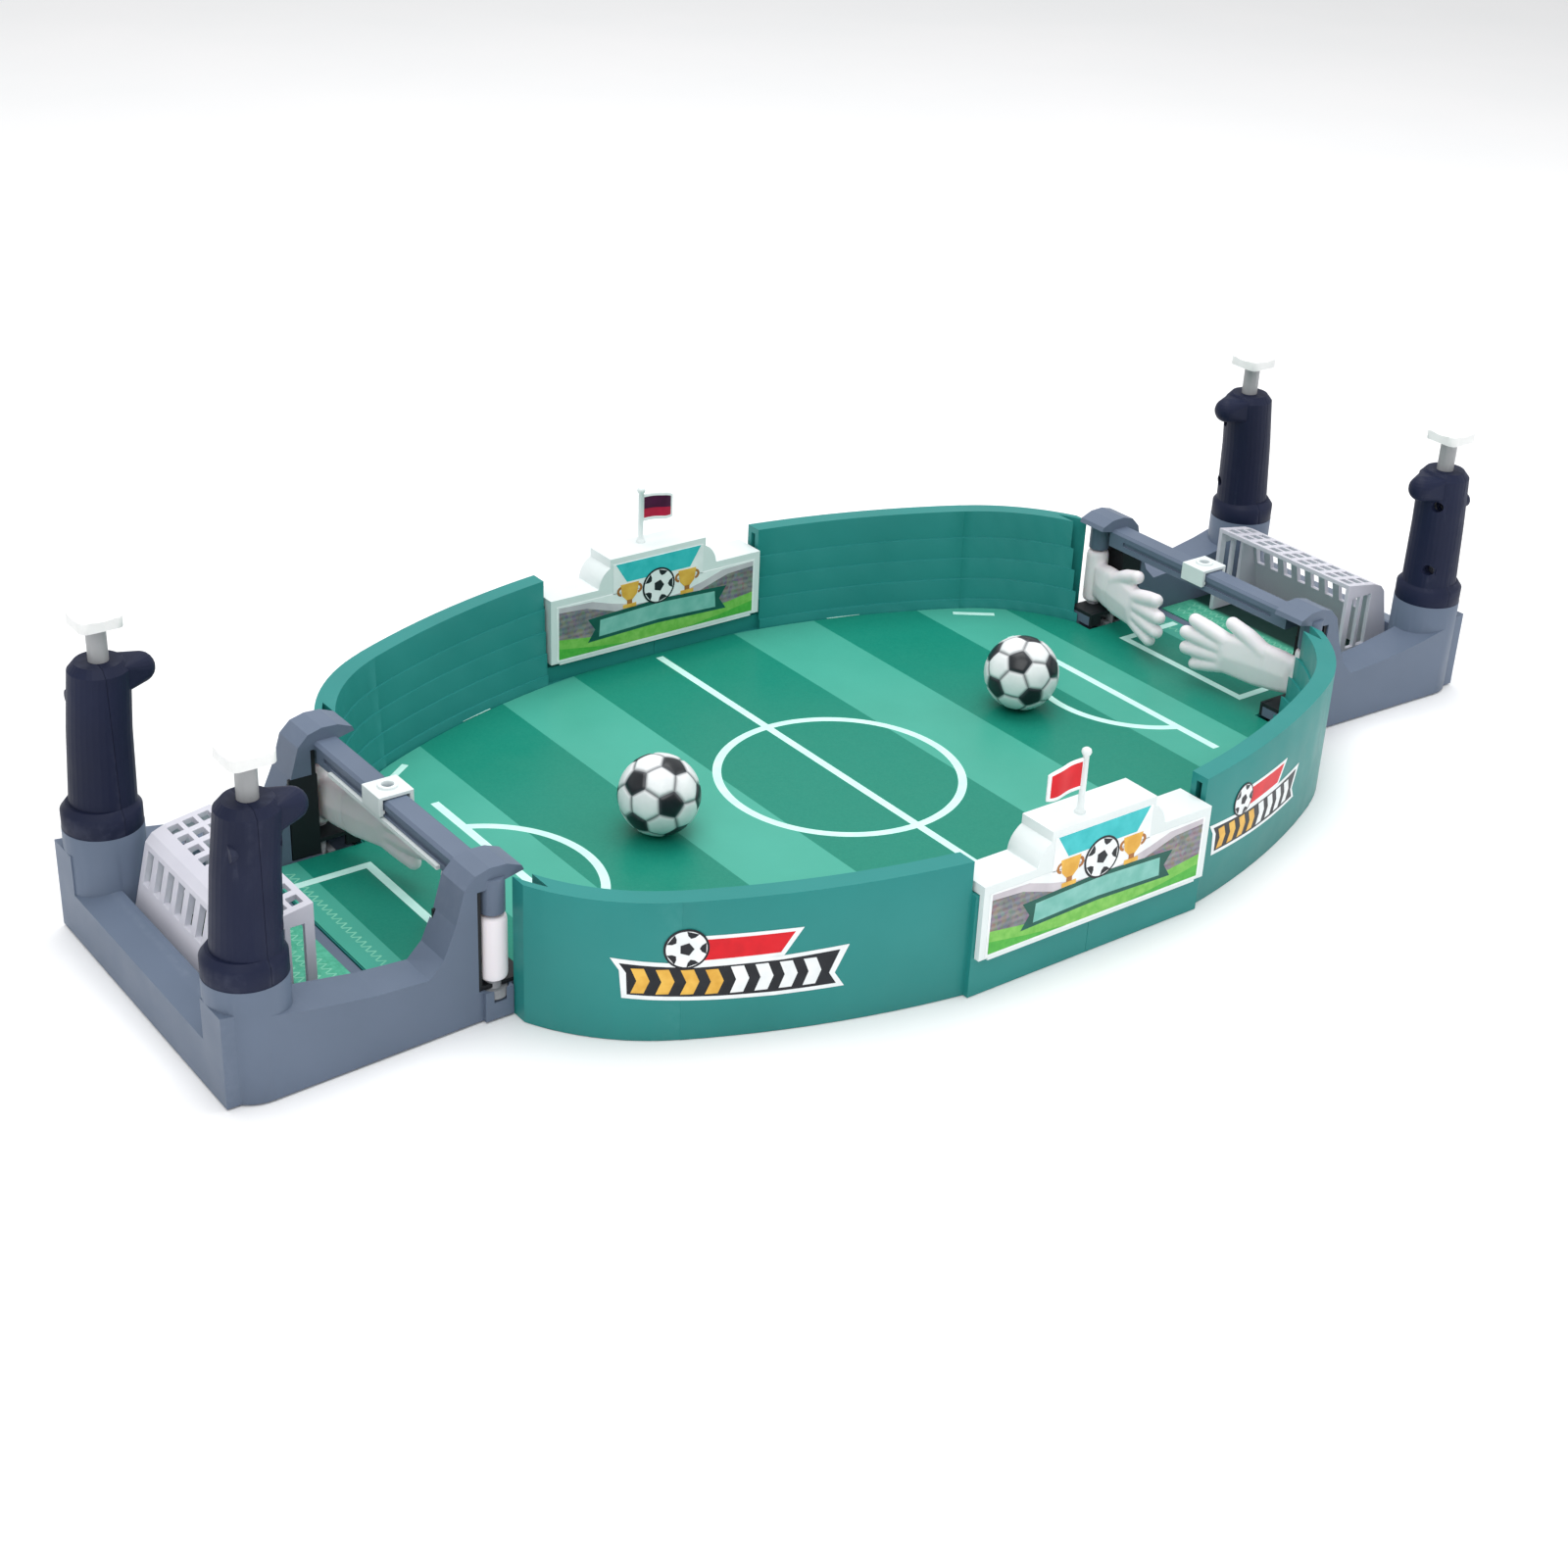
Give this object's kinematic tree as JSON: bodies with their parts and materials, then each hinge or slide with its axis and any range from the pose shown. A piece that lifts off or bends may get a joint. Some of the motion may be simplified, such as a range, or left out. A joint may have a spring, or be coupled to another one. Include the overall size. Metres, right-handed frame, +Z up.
{
  "type": "tabletop football game",
  "caption": "Oval tabletop football arena with a goal unit at each end, upright grips with thumb buttons that swing goalkeeper gloves, banners, flags and balls.",
  "frame": {"origin": "centre of the footprint on the table", "axes": "+X along the length towards the away goal, +Y across towards the far side, +Z up"},
  "size_m": [0.42, 0.21, 0.0852],
  "materials": {
    "arena_green": "satin moulded teal-green plastic",
    "pitch_print": "printed striped pitch card with a laminated face",
    "mat_print": "printed light green goal mat",
    "white_plastic": "glossy white moulded plastic",
    "banner_print": "printed crowd banner sticker without lettering",
    "flag_red": "red printed plastic flag with a white border",
    "flag_plum": "plum printed plastic flag with a white border",
    "decal_print": "printed wall decal without lettering",
    "frame_grey": "satin blue-grey moulded plastic",
    "net_white": "white slightly translucent moulded net",
    "screw_steel": "zinc plated steel",
    "bracket_black": "matt black plastic",
    "score_white": "glossy white plastic",
    "grip_navy": "fine matt navy plastic",
    "button_grey": "light grey moulded plastic",
    "spring_steel": "bright spring steel wire",
    "link_grey": "self-coloured acetal",
    "glove_white": "soft white moulded plastic",
    "ball_print": "white plastic ball with printed black panels"
  },
  "bodies": {
    "table": {"arena_half_home": "arena_green", "arena_half_away": "arena_green", "pitch_sheet": "pitch_print", "banner_bracket_near": "white_plastic", "banner_bracket_far": "white_plastic", "banner_stickers_near": "banner_print", "banner_stickers_far": "banner_print", "flag_near": "flag_red", "flag_far": "flag_plum", "wall_decals": "decal_print", "goal_frame_home": "frame_grey", "goal_frame_away": "frame_grey", "goal_mat_home": "mat_print", "goal_mat_away": "mat_print", "goal_net_home": "net_white", "goal_net_away": "net_white", "base_cover_home": "frame_grey", "base_cover_away": "frame_grey", "base_screws_home": "screw_steel", "base_screws_away": "screw_steel", "hand_brackets_home": "bracket_black", "hand_brackets_away": "bracket_black", "score_strip_home": "score_white", "score_strip_away": "score_white", "grip_front_home_near": "grip_navy", "grip_front_home_far": "grip_navy", "grip_front_away_near": "grip_navy", "grip_front_away_far": "grip_navy", "grip_back_home_near": "grip_navy", "grip_back_home_far": "grip_navy", "grip_back_away_near": "grip_navy", "grip_back_away_far": "grip_navy", "grip_screws_home": "screw_steel", "grip_screws_away": "screw_steel", "spring_home_near": "spring_steel", "spring_home_far": "spring_steel", "spring_away_near": "spring_steel", "spring_away_far": "spring_steel"},
    "slider_home": {"score_slider_home": "score_white"},
    "ball_home": {"ball_home": "ball_print"},
    "slider_away": {"score_slider_away": "score_white"},
    "ball_away": {"ball_away": "ball_print"},
    "button_home_near": {"button_home_near": "button_grey"},
    "link_home_near": {"link_home_near": "link_grey"},
    "hand_home_near": {"crank_home_near": "link_grey", "hand_home_near": "glove_white"},
    "button_home_far": {"button_home_far": "button_grey"},
    "link_home_far": {"link_home_far": "link_grey"},
    "hand_home_far": {"crank_home_far": "link_grey", "hand_home_far": "glove_white"},
    "button_away_near": {"button_away_near": "button_grey"},
    "link_away_near": {"link_away_near": "link_grey"},
    "hand_away_near": {"crank_away_near": "link_grey", "hand_away_near": "glove_white"},
    "button_away_far": {"button_away_far": "button_grey"},
    "link_away_far": {"link_away_far": "link_grey"},
    "hand_away_far": {"crank_away_far": "link_grey", "hand_away_far": "glove_white"}
  },
  "joints": [
    {"name": "button_press_home_near", "type": "slide", "parent": "table", "child": "button_home_near", "axis": [0, 0, -1], "range_m": [0, 0.005], "stiffness_N_per_m": 150, "springref_m": -0.002, "deforming": ["spring_home_near"]},
    {"name": "link_slide_home_near", "type": "slide", "parent": "table", "child": "link_home_near", "axis": [1, 0, 0], "range_m": [0, 0.005]},
    {"name": "hand_swing_home_near", "type": "hinge", "parent": "table", "child": "hand_home_near", "pos_m": [-0.14, -0.0455, 0.02], "axis": [0, 0, -1], "range_deg": [0, 45]},
    {"name": "button_press_home_far", "type": "slide", "parent": "table", "child": "button_home_far", "axis": [0, 0, -1], "range_m": [0, 0.005], "stiffness_N_per_m": 150, "springref_m": -0.002, "deforming": ["spring_home_far"]},
    {"name": "link_slide_home_far", "type": "slide", "parent": "table", "child": "link_home_far", "axis": [1, 0, 0], "range_m": [0, 0.005]},
    {"name": "hand_swing_home_far", "type": "hinge", "parent": "table", "child": "hand_home_far", "pos_m": [-0.14, 0.0455, 0.02], "axis": [0, 0, 1], "range_deg": [0, 45]},
    {"name": "button_press_away_near", "type": "slide", "parent": "table", "child": "button_away_near", "axis": [0, 0, -1], "range_m": [0, 0.005], "stiffness_N_per_m": 150, "springref_m": -0.002, "deforming": ["spring_away_near"]},
    {"name": "link_slide_away_near", "type": "slide", "parent": "table", "child": "link_away_near", "axis": [-1, 0, 0], "range_m": [0, 0.005]},
    {"name": "hand_swing_away_near", "type": "hinge", "parent": "table", "child": "hand_away_near", "pos_m": [0.14, -0.0455, 0.02], "axis": [0, 0, 1], "range_deg": [0, 45]},
    {"name": "button_press_away_far", "type": "slide", "parent": "table", "child": "button_away_far", "axis": [0, 0, -1], "range_m": [0, 0.005], "stiffness_N_per_m": 150, "springref_m": -0.002, "deforming": ["spring_away_far"]},
    {"name": "link_slide_away_far", "type": "slide", "parent": "table", "child": "link_away_far", "axis": [-1, 0, 0], "range_m": [0, 0.005]},
    {"name": "hand_swing_away_far", "type": "hinge", "parent": "table", "child": "hand_away_far", "pos_m": [0.14, 0.0455, 0.02], "axis": [0, 0, -1], "range_deg": [0, 45]},
    {"name": "score_home", "type": "slide", "parent": "table", "child": "slider_home", "axis": [0, 1, 0], "range_m": [-0.03, 0.022]},
    {"name": "score_away", "type": "slide", "parent": "table", "child": "slider_away", "axis": [0, 1, 0], "range_m": [-0.026, 0.026]},
    {"name": "ball_roll_home", "type": "slide", "parent": "table", "child": "ball_home", "axis": [1, 0, 0], "range_m": [-0.035, 0.045]},
    {"name": "ball_roll_away", "type": "slide", "parent": "table", "child": "ball_away", "axis": [1, 0, 0], "range_m": [-0.06, 0.025]}
  ],
  "couplings": [
    {"joint": "link_slide_home_near", "follows": "button_press_home_near", "ratio": 1},
    {"joint": "hand_swing_home_near", "follows": "button_press_home_near", "rad_per_m": 157.08},
    {"joint": "link_slide_home_far", "follows": "button_press_home_far", "ratio": 1},
    {"joint": "hand_swing_home_far", "follows": "button_press_home_far", "rad_per_m": 157.08},
    {"joint": "link_slide_away_near", "follows": "button_press_away_near", "ratio": 1},
    {"joint": "hand_swing_away_near", "follows": "button_press_away_near", "rad_per_m": 157.08},
    {"joint": "link_slide_away_far", "follows": "button_press_away_far", "ratio": 1},
    {"joint": "hand_swing_away_far", "follows": "button_press_away_far", "rad_per_m": 157.08}
  ]
}
